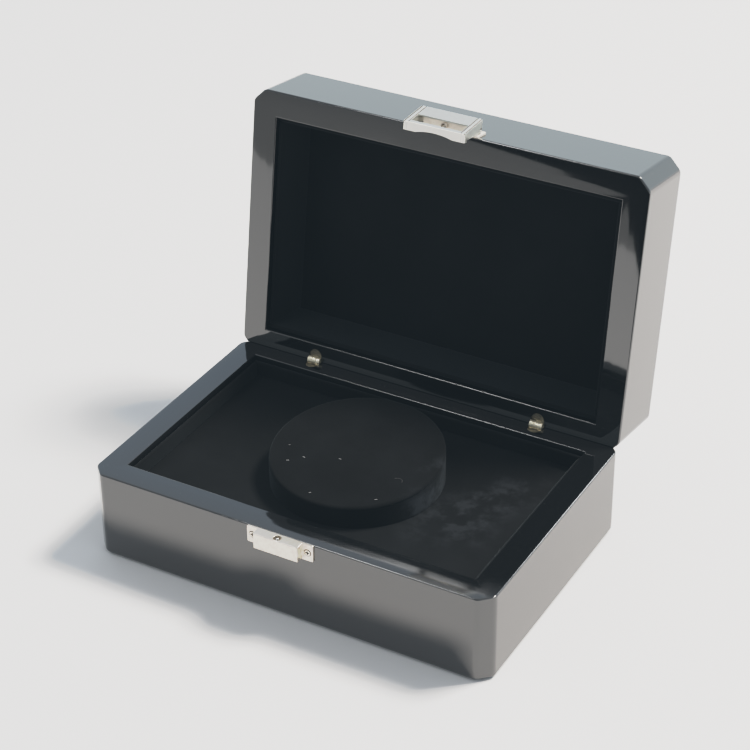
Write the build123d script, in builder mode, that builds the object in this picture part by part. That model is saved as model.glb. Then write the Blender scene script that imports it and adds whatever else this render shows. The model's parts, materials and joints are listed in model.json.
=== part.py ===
from build123d import *
import math
import os

# Lacquered jewelry box with a velvet tray, a slanted velvet drum in its middle and a deep
# velvet-lined lid. Origin: middle of the underside. X to the right, Y to the back, Z up.
# Everything on the lid is drawn with the lid shut and then turned open about the hinge line.

# Box, in millimetres
box_width = 240.0
box_depth = 159.0
base_height = 52.6
lid_height = 43.6
wall_thickness = 15.0
corner_chamfer = 7.0
corner_round = 4.5
outer_round = 2.0
rim_outer_round = 0.8
rim_inner_round = 0.6
panel_thickness = 6.0
panel_lap = 6.0
foot_pad_thickness = 1.0
foot_pad_margin = 4.0

# Hinge line
seam_gap = 0.4
lid_open_angle = 98.6

# Velvet linings
tray_depth = 12.1
floor_board_thickness = 3.0
lining_thickness = 2.5
lining_drop = 3.0
lid_lining_thickness = 2.0
board_clearance = 0.3
riser_length = 40.0
riser_width = 14.0

# Drum
drum_diameter = 95.8
drum_height = 17.5
drum_slope = 5.1
drum_pad_thickness = 2.5
drum_pad_round = 1.6
drum_band_thickness = 1.8
drum_clearance = 0.1

# Barrel hinges
hinge_spacing = 142.0
barrel_diameter = 8.0
barrel_length = 13.0
barrel_sink = 1.0
barrel_clearance = 0.05
hinge_offset = 3.0
knuckle_diameter = 4.8
knuckle_length = 7.6
tongue_width = 2.3
knuckle_gap = 0.15
pocket_clearance = 0.3
hinge_pin_diameter = 2.0
pin_seat_clearance = 0.02
pin_running_clearance = 0.06

# Fittings on the front: keeper below the seam, latch mount above it
plate_height = 10.0
plate_thickness = 1.0
plate_round = 0.8
block_width = 26.6
block_depth = 5.8
keeper_block_height = 9.4
block_round = 0.5
socket_offset = 3.2
socket_hole_diameter = 4.4
socket_hole_depth = 4.6

# Snap stud in the keeper and four-fingered socket in the latch mount
stud_ball_diameter = 2.4
stud_neck_diameter = 1.3
stud_base_thickness = 0.6
stud_sink = 0.1
socket_outer_diameter = 3.7
socket_inner_diameter = 2.8
socket_reach = 2.0
socket_root = 2.5
socket_slot = 0.45

# Screws
screw_head_diameter = 4.2
screw_shank_diameter = 2.2
screw_length = 10.0
screw_raise = 0.2
screw_clearance = 0.05
recess_length = 2.5
recess_width = 0.7
recess_depth = 0.7
screw_tip_radius = 0.1

# Latch flap: a cast frame that swings on a pin through the latch mount's block
latch_pin_diameter = 1.8
latch_pin_up = 5.5
latch_pin_out = 3.4
pin_cover = 2.6
pin_end_inset = 0.3
window_clearance = 1.7
bar_width = 3.6
plate_beyond_flap = 1.2
flap_face_out = 8.6
flap_end_out = 5.3
flap_plate_thickness = 0.8
flap_side_gap = 0.5
flap_bar_reach = 2.5
flap_end_thickness = 2.5
flap_end_gap = 0.5
flap_round = 1.0
arch_width = 22.0
arch_height = 1.5
groove_width = 0.7
groove_depth = 0.45
groove_margin = 0.7

# Places that follow from the sizes
half_width = box_width / 2
half_depth = box_depth / 2
opening_width = box_width - 2 * wall_thickness
opening_depth = box_depth - 2 * wall_thickness
panel_width = opening_width + 2 * panel_lap
panel_depth = opening_depth + 2 * panel_lap
lid_rim = base_height + seam_gap
lid_top = lid_rim + lid_height
tray_floor = base_height - tray_depth
hinge_z = base_height + seam_gap / 2
barrel_y = half_depth - wall_thickness / 2
hinge_y = barrel_y + hinge_offset
bevel_angle = lid_open_angle / 2
hinge_line = Axis((0, hinge_y, hinge_z), (1, 0, 0))
hinge_places = [("left", -hinge_spacing / 2), ("right", hinge_spacing / 2)]
knuckle_radius = knuckle_diameter / 2
pocket_radius = knuckle_radius + pocket_clearance
front_face = Plane.XZ.offset(half_depth)
flap_window_width = block_width + 2 * window_clearance
flap_width = flap_window_width + 2 * bar_width
plate_width = flap_width + 2 * plate_beyond_flap
screw_x = (plate_width + block_width) / 4
latch_plate_middle = lid_rim + plate_height / 2
keeper_plate_middle = base_height - plate_height / 2

os.makedirs("parts", exist_ok=True)


def save(piece, name):
    """Labels a finished piece and writes its file."""
    piece.label = name
    export_step(piece, f"parts/{name}.step")


def save_on_lid(piece, name):
    """Turns a piece drawn on the shut lid to the open place and writes it."""
    save(piece.rotate(hinge_line, -lid_open_angle), name)


def back_bevel(direction):
    """Wedge behind the hinge line, cut from both back edges so that the lid can open.

    direction is -1 for the base's edge below the seam and 1 for the lid's edge above it.
    """
    slope = math.radians(bevel_angle)
    reach = 2 * wall_thickness
    gap = seam_gap / 2
    start_y = hinge_y - gap * (1 - math.cos(slope)) / math.sin(slope)
    start = (start_y, hinge_z + direction * gap)
    low = (start_y + reach * math.cos(slope), start[1] + direction * reach * math.sin(slope))
    with BuildPart() as wedge:
        with BuildSketch(Plane.YZ.offset(-half_width - wall_thickness)):
            with BuildLine():
                Polyline(start, low, (low[0], hinge_z - direction * reach),
                         (start_y, hinge_z - direction * reach), close=True)
            make_face()
        extrude(amount=box_width + 2 * wall_thickness)
    return wedge.part


def wall_frame(rim, far):
    """Four walls as one ring, from the rim at the seam to the far side with its panel rebate."""
    outward = 1 if far > rim else -1
    with BuildPart() as ring:
        with BuildSketch(Plane.XY.offset(min(rim, far))):
            Rectangle(box_width, box_depth)
            chamfer(vertices(), corner_chamfer)
            fillet(vertices(), corner_round)
            Rectangle(opening_width, opening_depth, mode=Mode.SUBTRACT)
        extrude(amount=abs(far - rim))
        with BuildSketch(Plane.XY.offset(far)):
            Rectangle(panel_width, panel_depth)
        extrude(amount=-outward * panel_thickness, mode=Mode.SUBTRACT)
        far_face = ring.faces().filter_by(Axis.Z).sort_by(Axis.Z)[0 if outward < 0 else -1]
        fillet(far_face.outer_wire().edges(), outer_round)
        rim_face = ring.faces().filter_by(Axis.Z).sort_by(Axis.Z)[-1 if outward < 0 else 0]
        fillet(rim_face.outer_wire().edges(), rim_outer_round)
        rim_face = ring.faces().filter_by(Axis.Z).sort_by(Axis.Z)[-1 if outward < 0 else 0]
        fillet(rim_face.inner_wires()[0].edges(), rim_inner_round)
        add(back_bevel(outward), mode=Mode.SUBTRACT)
        for place, x in hinge_places:
            with BuildSketch(Plane.XY.offset(rim)):
                with Locations((x, barrel_y)):
                    Circle(barrel_diameter / 2 + barrel_clearance)
            extrude(amount=outward * (barrel_sink + barrel_length), mode=Mode.SUBTRACT)
            with BuildSketch(Plane.YZ.offset(x - knuckle_length / 2 - pocket_clearance)):
                with Locations((hinge_y, hinge_z)):
                    Circle(pocket_radius)
            extrude(amount=knuckle_length + 2 * pocket_clearance, mode=Mode.SUBTRACT)
        with Locations(*screw_places(rim + outward * plate_height / 2, 0)):
            pilot = screw_length - plate_thickness
            Cylinder(screw_shank_diameter / 2 + screw_clearance, pilot,
                     align=(Align.CENTER, Align.CENTER, Align.MAX), mode=Mode.SUBTRACT)
    return ring.part


def mitred_board(ring, side):
    """One wall of the ring, cut at 45 degrees through its corners."""
    beyond = 2 * wall_thickness
    within = wall_thickness / 2
    outer_x = opening_width / 2 + beyond
    outer_y = opening_depth / 2 + beyond
    inner_x = opening_width / 2 - within
    inner_y = opening_depth / 2 - within
    corners = {
        "front": [(-outer_x, -outer_y), (outer_x, -outer_y), (inner_x, -inner_y), (-inner_x, -inner_y)],
        "back": [(outer_x, outer_y), (-outer_x, outer_y), (-inner_x, inner_y), (inner_x, inner_y)],
        "left": [(-outer_x, outer_y), (-outer_x, -outer_y), (-inner_x, -inner_y), (-inner_x, inner_y)],
        "right": [(outer_x, -outer_y), (outer_x, outer_y), (inner_x, inner_y), (inner_x, -inner_y)],
    }
    with BuildPart() as board:
        add(ring)
        with BuildSketch(Plane.XY):
            with BuildLine():
                Polyline(*corners[side], close=True)
            make_face()
        extrude(amount=lid_top + wall_thickness, mode=Mode.INTERSECT)
    return board.part


def screw_places(height, out):
    """The two screw positions on the front, their axes pointing out of the wood."""
    return [Plane(origin=(x, -half_depth - out, height), x_dir=(1, 0, 0), z_dir=(0, -1, 0))
            for x in (-screw_x, screw_x)]


def screws(height):
    """Two cross-recessed screws with countersunk heads in a fitting's plate."""
    top = (Align.CENTER, Align.CENTER, Align.MAX)
    bottom = (Align.CENTER, Align.CENTER, Align.MIN)
    head_radius = screw_head_diameter / 2
    shank_radius = screw_shank_diameter / 2
    head_depth = head_radius - shank_radius
    tip = screw_shank_diameter
    with BuildPart() as pair:
        with Locations(*screw_places(height, plate_thickness)):
            Cylinder(shank_radius, screw_length - tip, align=top)
            Cone(shank_radius, head_radius, head_depth, align=top)
            Cone(head_radius, head_radius - 2 * screw_raise, screw_raise, align=bottom)
        with Locations(*screw_places(height, plate_thickness - screw_length + tip)):
            Cone(screw_tip_radius, shank_radius, tip, align=top)
        with Locations(*screw_places(height, plate_thickness + screw_raise)):
            Box(recess_length, recess_width, recess_depth, align=top, mode=Mode.SUBTRACT)
            Box(recess_width, recess_length, recess_depth, align=top, mode=Mode.SUBTRACT)
    return pair.part


def fitting_plate(middle):
    """Thin screwed plate on the front face, with a countersunk hole at each end."""
    with BuildPart() as plate:
        with BuildSketch(front_face):
            with Locations((0, middle)):
                RectangleRounded(plate_width, plate_height, plate_round)
        extrude(amount=plate_thickness)
        with Locations(*screw_places(middle, plate_thickness)):
            CounterSinkHole(screw_shank_diameter / 2 + screw_clearance,
                            screw_head_diameter / 2 + screw_clearance,
                            counter_sink_angle=90)
    return plate.part


# Felt pad under the base
with BuildPart() as base_felt_pad:
    with BuildSketch():
        Rectangle(box_width - 2 * foot_pad_margin, box_depth - 2 * foot_pad_margin)
        chamfer(vertices(), corner_chamfer)
    extrude(amount=foot_pad_thickness)
save(base_felt_pad.part, "base_felt_pad")

# Base walls and bottom panel
base_ring = wall_frame(base_height, foot_pad_thickness)
for side in ("front", "back", "left", "right"):
    save(mitred_board(base_ring, side), f"base_{side}_board")

with BuildPart() as base_bottom_panel:
    with BuildSketch(Plane.XY.offset(foot_pad_thickness)):
        Rectangle(panel_width, panel_depth)
    extrude(amount=panel_thickness)
save(base_bottom_panel.part, "base_bottom_panel")

# Lid walls and top panel
lid_ring = wall_frame(lid_rim, lid_top)
for side in ("front", "back", "left", "right"):
    save_on_lid(mitred_board(lid_ring, side), f"lid_{side}_board")

with BuildPart() as lid_top_panel:
    with BuildSketch(Plane.XY.offset(lid_top - panel_thickness)):
        Rectangle(panel_width, panel_depth)
    extrude(amount=panel_thickness)
save_on_lid(lid_top_panel.part, "lid_top_panel")

# Velvet floor of the tray on its risers
with BuildPart() as tray_floor_board:
    with BuildSketch(Plane.XY.offset(tray_floor - floor_board_thickness)):
        Rectangle(opening_width - 2 * board_clearance, opening_depth - 2 * board_clearance)
    extrude(amount=floor_board_thickness)
save(tray_floor_board.part, "tray_floor")

riser_foot = foot_pad_thickness + panel_thickness
riser_height = tray_floor - floor_board_thickness - riser_foot
riser_x = opening_width - riser_length - 2 * board_clearance
riser_y = opening_depth - riser_width - 2 * board_clearance
with BuildPart() as floor_risers:
    with BuildSketch(Plane.XY.offset(riser_foot)):
        with GridLocations(riser_x / 2, riser_y, 3, 2):
            Rectangle(riser_length, riser_width)
    extrude(amount=riser_height)
save(floor_risers.part, "floor_risers")


def lining_board(side, bottom, height):
    """Velvet-covered board against one inner wall; left and right fit between front and back."""
    long_side = opening_width - 2 * board_clearance
    short_side = opening_depth - 2 * board_clearance - 2 * lining_thickness
    across = side in ("front", "back")
    sign = -1 if side in ("front", "left") else 1
    if across:
        centre = (0, sign * (opening_depth / 2 - board_clearance - lining_thickness / 2))
        size = (long_side, lining_thickness)
    else:
        centre = (sign * (opening_width / 2 - board_clearance - lining_thickness / 2), 0)
        size = (lining_thickness, short_side)
    with BuildPart() as lining:
        with BuildSketch(Plane.XY.offset(bottom)):
            with Locations(centre):
                Rectangle(*size)
        extrude(amount=height)
    return lining.part


for side in ("front", "back", "left", "right"):
    tray_lining_height = tray_depth - lining_drop
    save(lining_board(side, tray_floor, tray_lining_height), f"tray_lining_{side}")
    lid_lining_height = lid_height - panel_thickness - lid_lining_thickness - lining_drop
    save_on_lid(lining_board(side, lid_rim + lining_drop, lid_lining_height),
                f"lid_lining_{side}")

with BuildPart() as lid_lining_top:
    with BuildSketch(Plane.XY.offset(lid_top - panel_thickness - lid_lining_thickness)):
        Rectangle(opening_width - 2 * board_clearance, opening_depth - 2 * board_clearance)
    extrude(amount=lid_lining_thickness)
save_on_lid(lid_lining_top.part, "lid_lining_top")

# Drum: a core with a wrapped band and a slanted pad, lower at the front
drum_radius = drum_diameter / 2
core_radius = drum_radius - drum_band_thickness - drum_clearance
drum_top = Plane(origin=(0, 0, tray_floor + drum_height),
                 x_dir=(1, 0, 0),
                 z_dir=(0, -math.sin(math.radians(drum_slope)), math.cos(math.radians(drum_slope))))
drum_seat = drum_top.offset(-drum_pad_thickness)

with BuildPart() as drum_core:
    with BuildSketch(Plane.XY.offset(tray_floor)):
        Circle(core_radius)
    extrude(amount=2 * drum_height)
    split(bisect_by=drum_seat, keep=Keep.BOTTOM)
save(drum_core.part, "drum_core")

with BuildPart() as drum_band:
    with BuildSketch(Plane.XY.offset(tray_floor)):
        Circle(drum_radius)
        Circle(drum_radius - drum_band_thickness, mode=Mode.SUBTRACT)
    extrude(amount=2 * drum_height)
    split(bisect_by=drum_seat, keep=Keep.BOTTOM)
save(drum_band.part, "drum_band")

with BuildPart() as drum_pad:
    with BuildSketch(Plane.XY.offset(tray_floor)):
        Circle(drum_radius)
    extrude(amount=2 * drum_height)
    split(bisect_by=drum_top, keep=Keep.BOTTOM)
    split(bisect_by=drum_seat, keep=Keep.TOP)
    fillet(drum_pad.faces().filter_by(GeomType.PLANE).sort_by(Axis.Z)[-1].edges(), drum_pad_round)
save(drum_pad.part, "drum_pad")


def disc(x, length, radius):
    """Round slice about the hinge line, starting at x and running to the right."""
    with BuildPart() as slice_about_line:
        with BuildSketch(Plane.YZ.offset(x)):
            with Locations((hinge_y, hinge_z)):
                Circle(radius)
        extrude(amount=length)
    return slice_about_line.part


# Each hinge: a barrel with two ears in the base, a barrel with one tongue in the lid, and a pin
ear_inner = tongue_width / 2 + knuckle_gap
ear_width = knuckle_length / 2 - ear_inner
pin_radius = hinge_pin_diameter / 2

for place, x in hinge_places:
    with BuildPart() as base_barrel:
        with BuildSketch(Plane.XY.offset(base_height - barrel_sink)):
            with Locations((x, barrel_y)):
                Circle(barrel_diameter / 2)
        extrude(amount=-barrel_length)
        add(back_bevel(-1), mode=Mode.SUBTRACT)
        add(disc(x - ear_inner, 2 * ear_inner, pocket_radius), mode=Mode.SUBTRACT)
        add(disc(x - knuckle_length / 2, ear_width, knuckle_radius))
        add(disc(x + ear_inner, ear_width, knuckle_radius))
        add(disc(x - knuckle_length, 2 * knuckle_length, pin_radius + pin_seat_clearance),
            mode=Mode.SUBTRACT)
    save(base_barrel.part, f"hinge_base_barrel_{place}")

    with BuildPart() as lid_barrel:
        with BuildSketch(Plane.XY.offset(lid_rim + barrel_sink)):
            with Locations((x, barrel_y)):
                Circle(barrel_diameter / 2)
        extrude(amount=barrel_length)
        add(back_bevel(1), mode=Mode.SUBTRACT)
        ear_room = ear_width + knuckle_gap + pocket_clearance
        add(disc(x - tongue_width / 2 - ear_room, ear_room, pocket_radius), mode=Mode.SUBTRACT)
        add(disc(x + tongue_width / 2, ear_room, pocket_radius), mode=Mode.SUBTRACT)
        add(disc(x - tongue_width / 2, tongue_width, knuckle_radius))
        add(disc(x - knuckle_length, 2 * knuckle_length, pin_radius + pin_running_clearance),
            mode=Mode.SUBTRACT)
    save_on_lid(lid_barrel.part, f"hinge_lid_barrel_{place}")

    save(disc(x - knuckle_length / 2, knuckle_length, pin_radius), f"hinge_pin_{place}")

# Keeper on the base's front: plate and block in one casting, with the stud's hole in its top
socket_place = (0, -half_depth - socket_offset)
with BuildPart() as keeper:
    add(fitting_plate(keeper_plate_middle))
    with BuildSketch(front_face):
        with Locations((0, base_height - keeper_block_height / 2)):
            Rectangle(block_width, keeper_block_height)
    extrude(amount=block_depth)
    front_edges = keeper.faces().sort_by(Axis.Y)[0].edges()
    fillet(front_edges, block_round)
    with BuildSketch(Plane.XY.offset(base_height)):
        with Locations(socket_place):
            Circle(socket_hole_diameter / 2)
    extrude(amount=-socket_hole_depth, mode=Mode.SUBTRACT)
save(keeper.part, "keeper")
save(screws(keeper_plate_middle), "keeper_screws")

# Ball stud that the lid's socket snaps over
stud_bottom = base_height - socket_hole_depth
ball_radius = stud_ball_diameter / 2
ball_middle = base_height - stud_sink - ball_radius
with BuildPart() as keeper_stud:
    with BuildSketch(Plane.XY.offset(stud_bottom)):
        with Locations(socket_place):
            Circle(socket_hole_diameter / 2 - screw_clearance)
    extrude(amount=stud_base_thickness)
    with BuildSketch(Plane.XY.offset(stud_bottom)):
        with Locations(socket_place):
            Circle(stud_neck_diameter / 2)
    extrude(amount=ball_middle - stud_bottom)
    with Locations((*socket_place, ball_middle)):
        Sphere(ball_radius)
save(keeper_stud.part, "keeper_stud")

# Latch mount on the lid's front: plate and block, rounded about the flap's pin
pin_y = -half_depth - latch_pin_out
pin_z = lid_rim + latch_pin_up
latch_block_height = latch_pin_up + pin_cover
with BuildPart() as latch_mount:
    add(fitting_plate(latch_plate_middle))
    with BuildSketch(front_face):
        with Locations((0, lid_rim + latch_block_height / 2)):
            Rectangle(block_width, latch_block_height)
    extrude(amount=block_depth)
    upper_edge = latch_mount.faces().sort_by(Axis.Y)[0].edges().sort_by(Axis.Z)[-1]
    fillet(upper_edge, min(block_depth - latch_pin_out, pin_cover))
    with BuildSketch(Plane.YZ.offset(-block_width)):
        with Locations((pin_y, pin_z)):
            Circle(latch_pin_diameter / 2 + pin_seat_clearance)
    extrude(amount=2 * block_width, mode=Mode.SUBTRACT)
    with BuildSketch(Plane.XY.offset(lid_rim)):
        with Locations(socket_place):
            Circle(socket_outer_diameter / 2 + pin_seat_clearance)
    extrude(amount=socket_root, mode=Mode.SUBTRACT)
save_on_lid(latch_mount.part, "latch_mount")
save_on_lid(screws(latch_plate_middle), "latch_screws")

with BuildPart() as latch_socket:
    with BuildSketch(Plane.XY.offset(lid_rim - socket_reach)):
        with Locations(socket_place):
            Circle(socket_outer_diameter / 2)
    extrude(amount=socket_reach + socket_root)
    with BuildSketch(Plane.XY.offset(lid_rim - socket_reach)):
        with Locations(socket_place):
            Circle(socket_inner_diameter / 2)
            Rectangle(socket_slot, socket_outer_diameter + socket_slot, rotation=45)
            Rectangle(socket_slot, socket_outer_diameter + socket_slot, rotation=-45)
    extrude(amount=socket_reach, mode=Mode.SUBTRACT)
save_on_lid(latch_socket.part, "latch_socket")

with BuildPart() as latch_pin:
    pin_length = flap_width - 2 * pin_end_inset
    with BuildSketch(Plane.YZ.offset(-pin_length / 2)):
        with Locations((pin_y, pin_z)):
            Circle(latch_pin_diameter / 2)
    extrude(amount=pin_length)
save_on_lid(latch_pin.part, "latch_pin")

# Latch flap, shut: two side bars, a plate across the blocks and a thick free end
side_inner_out = plate_thickness + flap_side_gap
swing_radius = latch_pin_out - side_inner_out
flap_top = pin_z + swing_radius
window_bottom = base_height - plate_height - flap_end_gap
flap_bottom = window_bottom - flap_end_thickness
end_inner_out = flap_end_gap
flap_height = flap_top - flap_bottom
face_slope = (flap_face_out - flap_end_out) / flap_height
above_flap = flap_top + plate_height
beyond_face = flap_face_out + plate_height
bar_bottom = base_height - flap_bar_reach


def front_y(out):
    """Y of a point that stands this far out from the front."""
    return -half_depth - out


def face_out(z):
    """How far the flap's sloping face stands out at height z."""
    return flap_end_out + (z - flap_bottom) * face_slope


def slab_along_face(x, width, low, depth, far):
    """Slab from a depth under the flap's sloping face out to far, from low to above the flap."""
    with BuildPart() as slab:
        with BuildSketch(Plane.YZ.offset(x - width / 2)):
            with BuildLine():
                Polyline((front_y(face_out(above_flap) - depth), above_flap),
                         (front_y(face_out(low) - depth), low),
                         (front_y(far), low),
                         (front_y(far), above_flap), close=True)
            make_face()
        extrude(amount=width)
    return slab.part


with BuildPart() as latch_flap:
    with BuildSketch(Plane.YZ.offset(-flap_width / 2)):
        with BuildLine():
            Polyline((pin_y, flap_top), (front_y(flap_face_out), flap_top),
                     (front_y(flap_end_out), flap_bottom), (front_y(end_inner_out), flap_bottom),
                     (front_y(end_inner_out), window_bottom), (front_y(side_inner_out), window_bottom),
                     (front_y(side_inner_out), pin_z))
            CenterArc((pin_y, pin_z), swing_radius, 0, 90)
        make_face()
    extrude(amount=flap_width)
    with BuildSketch(front_face):
        with Locations((0, (flap_top + flap_bottom) / 2)):
            RectangleRounded(flap_width, flap_height, flap_round)
    extrude(amount=flap_face_out, mode=Mode.INTERSECT)
    add(slab_along_face(0, flap_window_width, window_bottom, flap_plate_thickness, -plate_thickness),
        mode=Mode.SUBTRACT)
    with BuildSketch(front_face):
        with Locations((0, (bar_bottom + window_bottom) / 2)):
            Rectangle(flap_window_width, bar_bottom - window_bottom)
    extrude(amount=flap_face_out + plate_thickness, mode=Mode.SUBTRACT)
    with BuildSketch(Plane.XY.offset(flap_bottom)):
        with BuildLine():
            arch = ThreePointArc((-arch_width / 2, front_y(end_inner_out)),
                                 (0, front_y(end_inner_out + arch_height)),
                                 (arch_width / 2, front_y(end_inner_out)))
            Line(arch @ 1, arch @ 0)
        make_face()
    extrude(amount=flap_end_thickness, mode=Mode.SUBTRACT)
    with BuildSketch(Plane.YZ.offset(-flap_width)):
        with Locations((pin_y, pin_z)):
            Circle(latch_pin_diameter / 2 + pin_running_clearance)
    extrude(amount=2 * flap_width, mode=Mode.SUBTRACT)
    for low, inset in ((flap_bottom, groove_margin), (window_bottom, bar_width - groove_margin)):
        for sign in (-1, 1):
            groove_x = sign * (flap_width / 2 - inset)
            add(slab_along_face(groove_x, groove_width, low, groove_depth, beyond_face),
                mode=Mode.SUBTRACT)
save_on_lid(latch_flap.part, "latch_flap")
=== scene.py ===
"""Black lacquered jewelry box with velvet linings: finishes, velvet pieces, fittings, lint and studio.

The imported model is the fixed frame. Lengths are in metres, in the frame's own axes: X to the right,
Y to the back, Z up. Whatever lies in the lid is modelled with the lid shut and turned open.
"""

import json
import math

import bmesh
import bpy
from bpy.props import FloatProperty, FloatVectorProperty, PointerProperty
from bpy.types import Operator, Panel, PropertyGroup
from mathutils import Matrix, Quaternion, Vector, noise


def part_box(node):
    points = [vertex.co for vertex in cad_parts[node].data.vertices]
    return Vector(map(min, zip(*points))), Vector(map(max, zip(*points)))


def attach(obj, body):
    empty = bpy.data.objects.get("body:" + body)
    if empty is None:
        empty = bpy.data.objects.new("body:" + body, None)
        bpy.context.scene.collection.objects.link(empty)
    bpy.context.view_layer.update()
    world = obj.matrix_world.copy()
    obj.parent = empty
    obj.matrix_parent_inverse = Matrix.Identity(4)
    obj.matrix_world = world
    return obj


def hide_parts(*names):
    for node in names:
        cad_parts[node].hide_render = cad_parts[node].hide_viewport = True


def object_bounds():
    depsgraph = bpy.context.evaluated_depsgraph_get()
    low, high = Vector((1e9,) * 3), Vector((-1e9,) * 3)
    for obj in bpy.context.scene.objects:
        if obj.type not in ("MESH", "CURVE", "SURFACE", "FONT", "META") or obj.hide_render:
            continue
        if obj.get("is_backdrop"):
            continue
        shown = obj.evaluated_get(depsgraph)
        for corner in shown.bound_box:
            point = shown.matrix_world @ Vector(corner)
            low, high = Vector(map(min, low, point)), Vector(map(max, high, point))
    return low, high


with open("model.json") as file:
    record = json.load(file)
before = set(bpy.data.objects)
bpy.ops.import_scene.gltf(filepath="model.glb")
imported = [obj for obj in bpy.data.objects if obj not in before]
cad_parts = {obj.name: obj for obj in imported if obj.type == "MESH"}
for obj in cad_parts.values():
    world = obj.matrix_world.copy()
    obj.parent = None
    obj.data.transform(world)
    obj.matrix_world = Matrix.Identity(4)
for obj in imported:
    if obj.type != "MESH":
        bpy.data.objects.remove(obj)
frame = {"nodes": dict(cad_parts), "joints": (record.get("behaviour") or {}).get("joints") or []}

bl_info = {
    "name": "Velvet jewelry box",
    "version": (1, 0, 0),
    "blender": (4, 5, 0),
    "location": "View3D > Sidebar > Jewelry box",
    "description": "Finishes, velvet, fittings and studio round a lacquered jewelry box",
    "category": "Object",
}

NODES = frame["nodes"]
JOINTS = {joint["name"]: joint for joint in frame["joints"]}
HINGE = Vector(JOINTS["lid_hinge"]["pos_m"])
LID_OPEN = math.radians(JOINTS["lid_hinge"]["range_deg"][1])
WALLS = ("front", "back", "left", "right")
CREASE = math.radians(34)


def colour_property(name, description, default):
    """A colour that the user can change."""
    return FloatVectorProperty(name=name, description=description, default=default,
                               subtype="COLOR", size=3, min=0, soft_max=1)


def length_property(name, description, default):
    """A length that the user can change."""
    return FloatProperty(name=name, description=description, default=default,
                         unit="LENGTH", min=0, precision=5)


def share_property(name, description, default):
    """A number from 0 to 1 that the user can change."""
    return FloatProperty(name=name, description=description, default=default,
                         subtype="FACTOR", min=0, max=1)


class LacquerSettings(PropertyGroup):
    """Polished black lacquer on the boards."""

    colour: colour_property("Colour", "Black under the clear coat", (0.004, 0.0045, 0.005))
    gloss: share_property("Roughness", "Roughness of the polished coat", 0.045)
    smudge: share_property("Smudges", "Extra roughness where hands have dulled it", 0.06)
    index: FloatProperty(name="Refractive index", description="How strongly the coat reflects",
                         default=2.0, min=1, max=3)
    ripple: length_property("Ripple", "Height of the coat's gentle waves", 0.000012)
    rim_fall: length_property("Rim fall", "How far the polished rims fall towards the outside", 0.0001)
    rim_dip: length_property("Rim dip", "How far the rims fall towards the opening", 0.00006)


class VelvetSettings(PropertyGroup):
    """Black velvet on the linings and the drum."""

    colour: colour_property("Colour", "Pile lying flat", (0.0013, 0.0017, 0.0020))
    # Colour of the paler patches, which stand partly for nap and partly for painted light
    paler_nap_and_light: colour_property("Paler colour", "Pile lying paler, partly nap and partly painted light",
                             (0.0062, 0.0071, 0.0084))
    sheen: share_property("Sheen", "Light caught by the tips of the pile", 0.12)
    pile: length_property("Pile", "Height of the pile's relief", 0.00012)
    edge: length_property("Edge round", "Round of a covered board's edges", 0.0009)
    unevenness: length_property("Unevenness", "How far the cloth wanders from flat", 0.00018)
    crown: length_property("Drum crown", "Rise of the drum's pad at its middle", 0.0004)
    shoulder: length_property("Drum shoulder", "Round of the drum's upper edge", 0.0016)


class MetalSettings(PropertyGroup):
    """Fittings and hinges."""

    nickel: colour_property("Nickel", "Satin nickel castings", (0.82, 0.75, 0.66))
    # Painted shade: the flap's broad face is set darker than the other nickel so its painted highlights
    # stand out
    flap: colour_property("Flap", "Satin nickel on the flap's broad face", (0.66, 0.66, 0.62))
    brass: colour_property("Brass", "Pale plated brass hinges", (0.88, 0.79, 0.60))
    # Painted shade: how bright the barrels' ends stay
    end_shade: share_property("Barrel end shade", "How bright the barrels' ends stay under painted shade", 0.12)
    steel: colour_property("Steel", "Polished stud and pins", (0.6, 0.58, 0.55))
    satin: share_property("Nickel roughness", "Roughness of the castings", 0.34)
    body: share_property("Nickel body", "Share of a true mirror metal in the satin plating", 0.9)
    shaded_body: share_property("Mount body", "Share of a true mirror metal on the latch's mount", 0.4)
    edge: length_property("Edge round", "Round worn on the castings' edges", 0.00015)


class StudioSettings(PropertyGroup):
    """Floor, light and camera."""

    floor: colour_property("Floor", "Pale floor", (0.8, 0.79, 0.79))
    key_colour: colour_property("Key colour", "Warm white of the key light", (1.0, 0.94, 0.87))
    key: FloatProperty(name="Key light", description="Softbox behind and to the right",
                       default=192, unit="POWER", min=0)
    fill: FloatProperty(name="Fill light", description="Softbox in front that no surface mirrors",
                        default=6, unit="POWER", min=0)
    glint: FloatProperty(name="Glint lights", description="Small lamps that only glossy edges mirror",
                         default=4.5, unit="POWER", min=0)
    camera_place: FloatVectorProperty(name="Camera", description="Where the camera stands",
                                      default=(0.4887, -0.8405, 0.7145), subtype="TRANSLATION", size=3)
    azimuth: FloatProperty(name="Azimuth", description="How far the camera stands round to the right",
                           default=math.radians(29.59), subtype="ANGLE")
    elevation: FloatProperty(name="Elevation", description="How far the camera looks down",
                             default=math.radians(32.07), subtype="ANGLE")
    roll: FloatProperty(name="Roll", description="How far the camera is turned about its line of sight",
                        default=math.radians(-0.54), subtype="ANGLE")
    lens: FloatProperty(name="Lens", description="Focal length in millimetres on a 36 mm sensor",
                        default=104.61, min=1)


# Shader maths


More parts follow.
